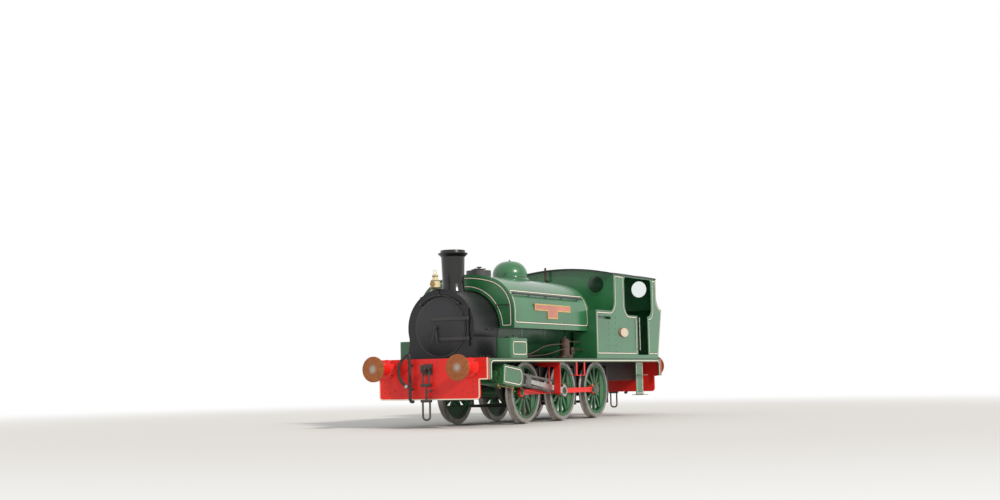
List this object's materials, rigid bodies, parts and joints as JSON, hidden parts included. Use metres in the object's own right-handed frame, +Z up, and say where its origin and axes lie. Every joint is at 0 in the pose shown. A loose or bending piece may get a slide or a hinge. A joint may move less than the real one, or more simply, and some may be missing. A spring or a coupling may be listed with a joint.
{
  "type": "saddle tank steam locomotive",
  "caption": "Six-coupled saddle tank steam locomotive with outside cylinders, an open-sided cab, sprung buffers, turning wheels with rods, and an opening smokebox door and filler lid.",
  "frame": {"origin": "on the floor under the middle of the locomotive, at the lowest point of the wheel flanges", "axes": "+X to the front, +Y to the locomotive's left, +Z up"},
  "size_m": [8.76, 2.554, 3.228],
  "materials": {
    "green_paint": "glossy mid green with cream lining",
    "red_paint": "satin vermilion",
    "smokebox_black": "satin black",
    "black_frames": "satin black with road dirt",
    "boiler_cladding": "satin green",
    "roof_black": "matt black",
    "wheel_green": "satin green",
    "tyre_steel": "worn steel",
    "bright_steel": "oiled bright steel",
    "coupling_steel": "oily dark steel",
    "rusty_steel": "rusty brown, worn in the middle",
    "brass_fittings": "polished brass",
    "lamp_enamel": "cream enamel",
    "hose_rubber": "black ribbed rubber hose",
    "floor_boards": "worn boards",
    "cab_glass": "clear glass"
  },
  "bodies": {
    "root": {"ashpan": "black_frames", "axleboxes": "black_frames", "boiler_barrel": "boiler_cladding", "brake_gear": "black_frames", "buffer_beams": "red_paint", "buffer_heads": "rusty_steel", "buffer_housings": "red_paint", "cab_back": "green_paint", "cab_fittings": "brass_fittings", "cab_floor": "floor_boards", "cab_front": "green_paint", "cab_roof": "roof_black", "cab_side_left": "green_paint", "cab_side_right": "green_paint", "cab_steps": "green_paint", "chimney": "smokebox_black", "crossheads": "bright_steel", "cylinders": "green_paint", "dome": "green_paint", "draw_hooks": "coupling_steel", "firebox": "boiler_cladding", "frame_plates": "black_frames", "handrails": "bright_steel", "head_lamp": "lamp_enamel", "hose_coupling": "bright_steel", "middle_steps": "red_paint", "motion_brackets": "red_paint", "name_plates": "red_paint", "running_plate": "black_frames", "saddle_tank": "green_paint", "safety_valves": "brass_fittings", "sandboxes": "green_paint", "screw_couplings": "coupling_steel", "side_bunkers": "green_paint", "slide_bars": "bright_steel", "smokebox": "smokebox_black", "smokebox_front": "smokebox_black", "smokebox_saddle": "smokebox_black", "tank_filler": "green_paint", "vacuum_hose": "hose_rubber", "vacuum_pipes": "black_frames", "valances": "green_paint", "whistle": "brass_fittings", "window_glass": "cab_glass", "window_rims": "green_paint"},
    "wheelset_driving": {"wheelset_driving": "wheel_green", "tyres_driving": "tyre_steel"},
    "wheelset_leading": {"wheelset_leading": "wheel_green", "tyres_leading": "tyre_steel"},
    "wheelset_trailing": {"wheelset_trailing": "wheel_green", "tyres_trailing": "tyre_steel"},
    "coupling_rod_left": {"coupling_rod_left": "red_paint"},
    "coupling_rod_right": {"coupling_rod_right": "red_paint"},
    "connecting_rod_left": {"connecting_rod_left": "bright_steel"},
    "connecting_rod_right": {"connecting_rod_right": "bright_steel"},
    "smokebox_door": {"smokebox_door": "smokebox_black", "door_furniture": "bright_steel"},
    "filler_lid": {"filler_lid": "green_paint"}
  },
  "joints": [
    {"name": "driving_wheels_turn", "type": "hinge", "parent": "root", "child": "wheelset_driving", "pos_m": [0.215, 0, 0.598], "axis": [0, 1, 0], "continuous": true},
    {"name": "leading_wheels_turn", "type": "hinge", "parent": "root", "child": "wheelset_leading", "pos_m": [1.765, 0, 0.598], "axis": [0, 1, 0], "continuous": true},
    {"name": "trailing_wheels_turn", "type": "hinge", "parent": "root", "child": "wheelset_trailing", "pos_m": [-1.335, 0, 0.598], "axis": [0, 1, 0], "continuous": true},
    {"name": "coupling_rod_left_pin", "type": "hinge", "parent": "wheelset_driving", "child": "coupling_rod_left", "pos_m": [0.495, 0.8502, 0.598], "axis": [0, 1, 0], "continuous": true},
    {"name": "coupling_rod_right_pin", "type": "hinge", "parent": "wheelset_driving", "child": "coupling_rod_right", "pos_m": [0.215, -0.8502, 0.878], "axis": [0, 1, 0], "continuous": true},
    {"name": "connecting_rod_left_pin", "type": "hinge", "parent": "wheelset_driving", "child": "connecting_rod_left", "pos_m": [0.495, 0.965, 0.598], "axis": [0, 1, 0], "continuous": true},
    {"name": "connecting_rod_right_pin", "type": "hinge", "parent": "wheelset_driving", "child": "connecting_rod_right", "pos_m": [0.215, -0.965, 0.878], "axis": [0, 1, 0], "continuous": true},
    {"name": "smokebox_door_hinge", "type": "hinge", "parent": "root", "child": "smokebox_door", "pos_m": [3.494, 0.584, 1.795], "axis": [0, 0, 1], "range_deg": [0, 130]},
    {"name": "filler_lid_hinge", "type": "hinge", "parent": "root", "child": "filler_lid", "pos_m": [1.792, 0, 2.894], "axis": [0, -1, 0], "range_deg": [0, 105]}
  ],
  "couplings": [
    {"joint": "leading_wheels_turn", "follows": "driving_wheels_turn", "ratio": 1},
    {"joint": "trailing_wheels_turn", "follows": "driving_wheels_turn", "ratio": 1},
    {"joint": "coupling_rod_left_pin", "follows": "driving_wheels_turn", "ratio": -1},
    {"joint": "coupling_rod_right_pin", "follows": "driving_wheels_turn", "ratio": -1},
    {"joint": "connecting_rod_left_pin", "follows": "driving_wheels_turn", "ratio": -1},
    {"joint": "connecting_rod_right_pin", "follows": "driving_wheels_turn", "ratio": -1}
  ]
}
